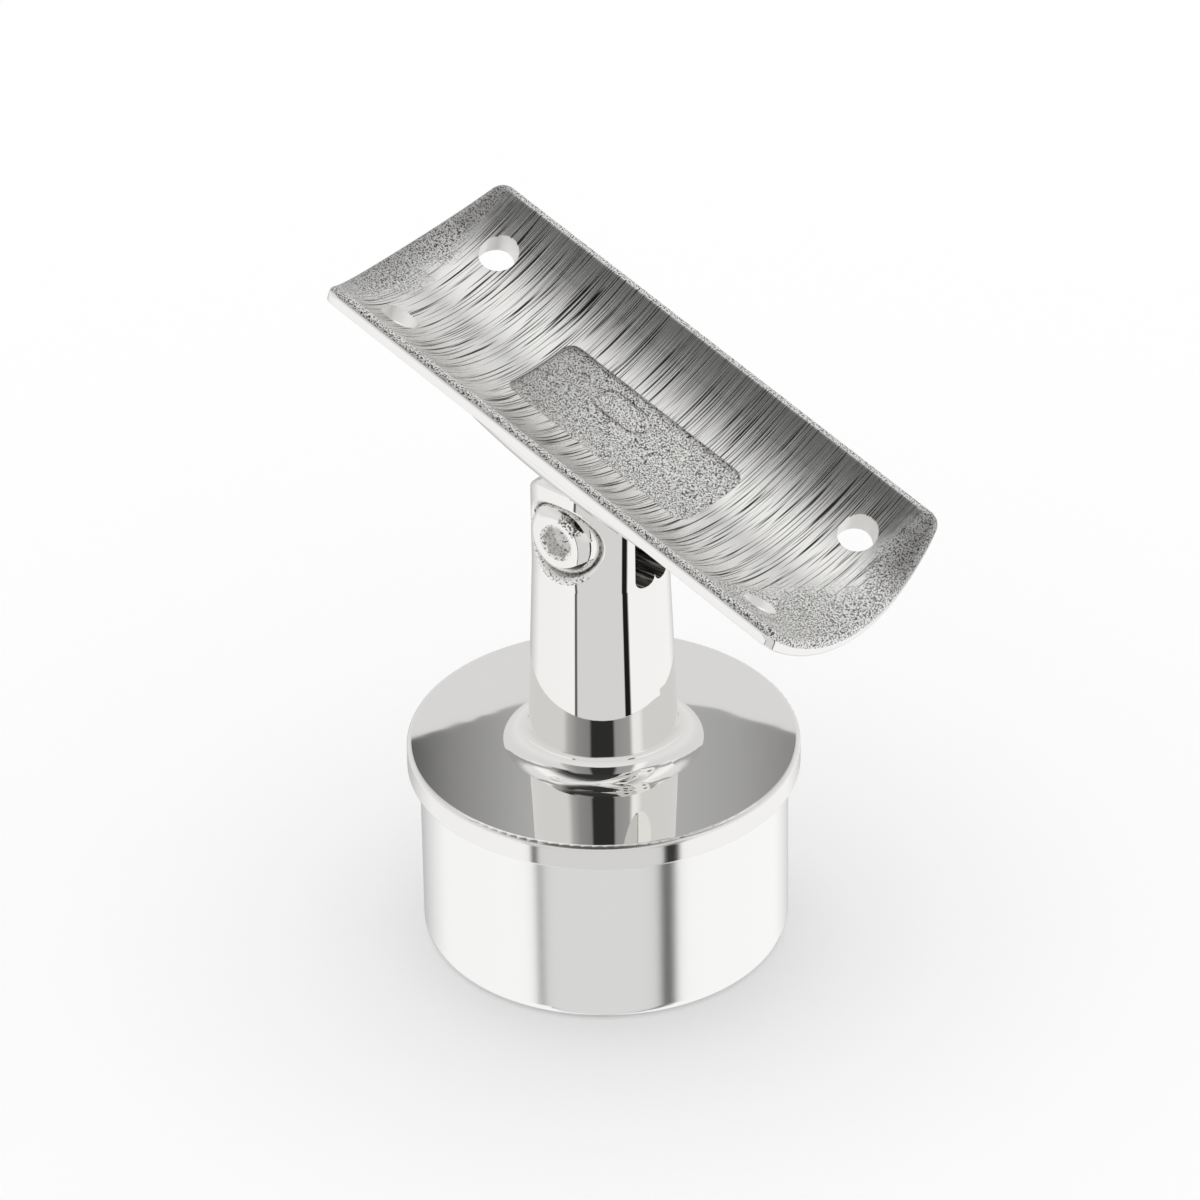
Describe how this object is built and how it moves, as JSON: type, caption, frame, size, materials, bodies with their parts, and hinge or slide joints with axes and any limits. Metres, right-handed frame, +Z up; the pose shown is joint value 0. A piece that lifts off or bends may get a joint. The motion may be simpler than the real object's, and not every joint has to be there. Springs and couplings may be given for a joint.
{
  "type": "handrail post top saddle",
  "caption": "Round internal-fit post cap with a slotted stem and a tilting trough saddle that carries a round handrail, clamped by a socket screw.",
  "frame": {"origin": "centre of the flange's underside, where it seats on the end of the post tube", "axes": "+Z up along the post; +X along the saddle seen from above, towards its low end; +Y along the pivot, away from the screw's head"},
  "size_m": [0.0756, 0.0508, 0.0923],
  "materials": {
    "cap_steel": "mirror polished flange and stem, satin turned plug",
    "saddle_steel": "brushed trough, polished sides and underside",
    "screw_steel": "polished dome, rough socket"
  },
  "bodies": {
    "base": {"base_cap": "cap_steel", "pivot_screw": "screw_steel"},
    "saddle": {"saddle": "saddle_steel"}
  },
  "joints": [
    {"name": "saddle_tilt", "type": "hinge", "parent": "base", "child": "saddle", "pos_m": [0, 0, 0.0373], "axis": [0, 1, 0], "range_deg": [-79, 40]}
  ]
}
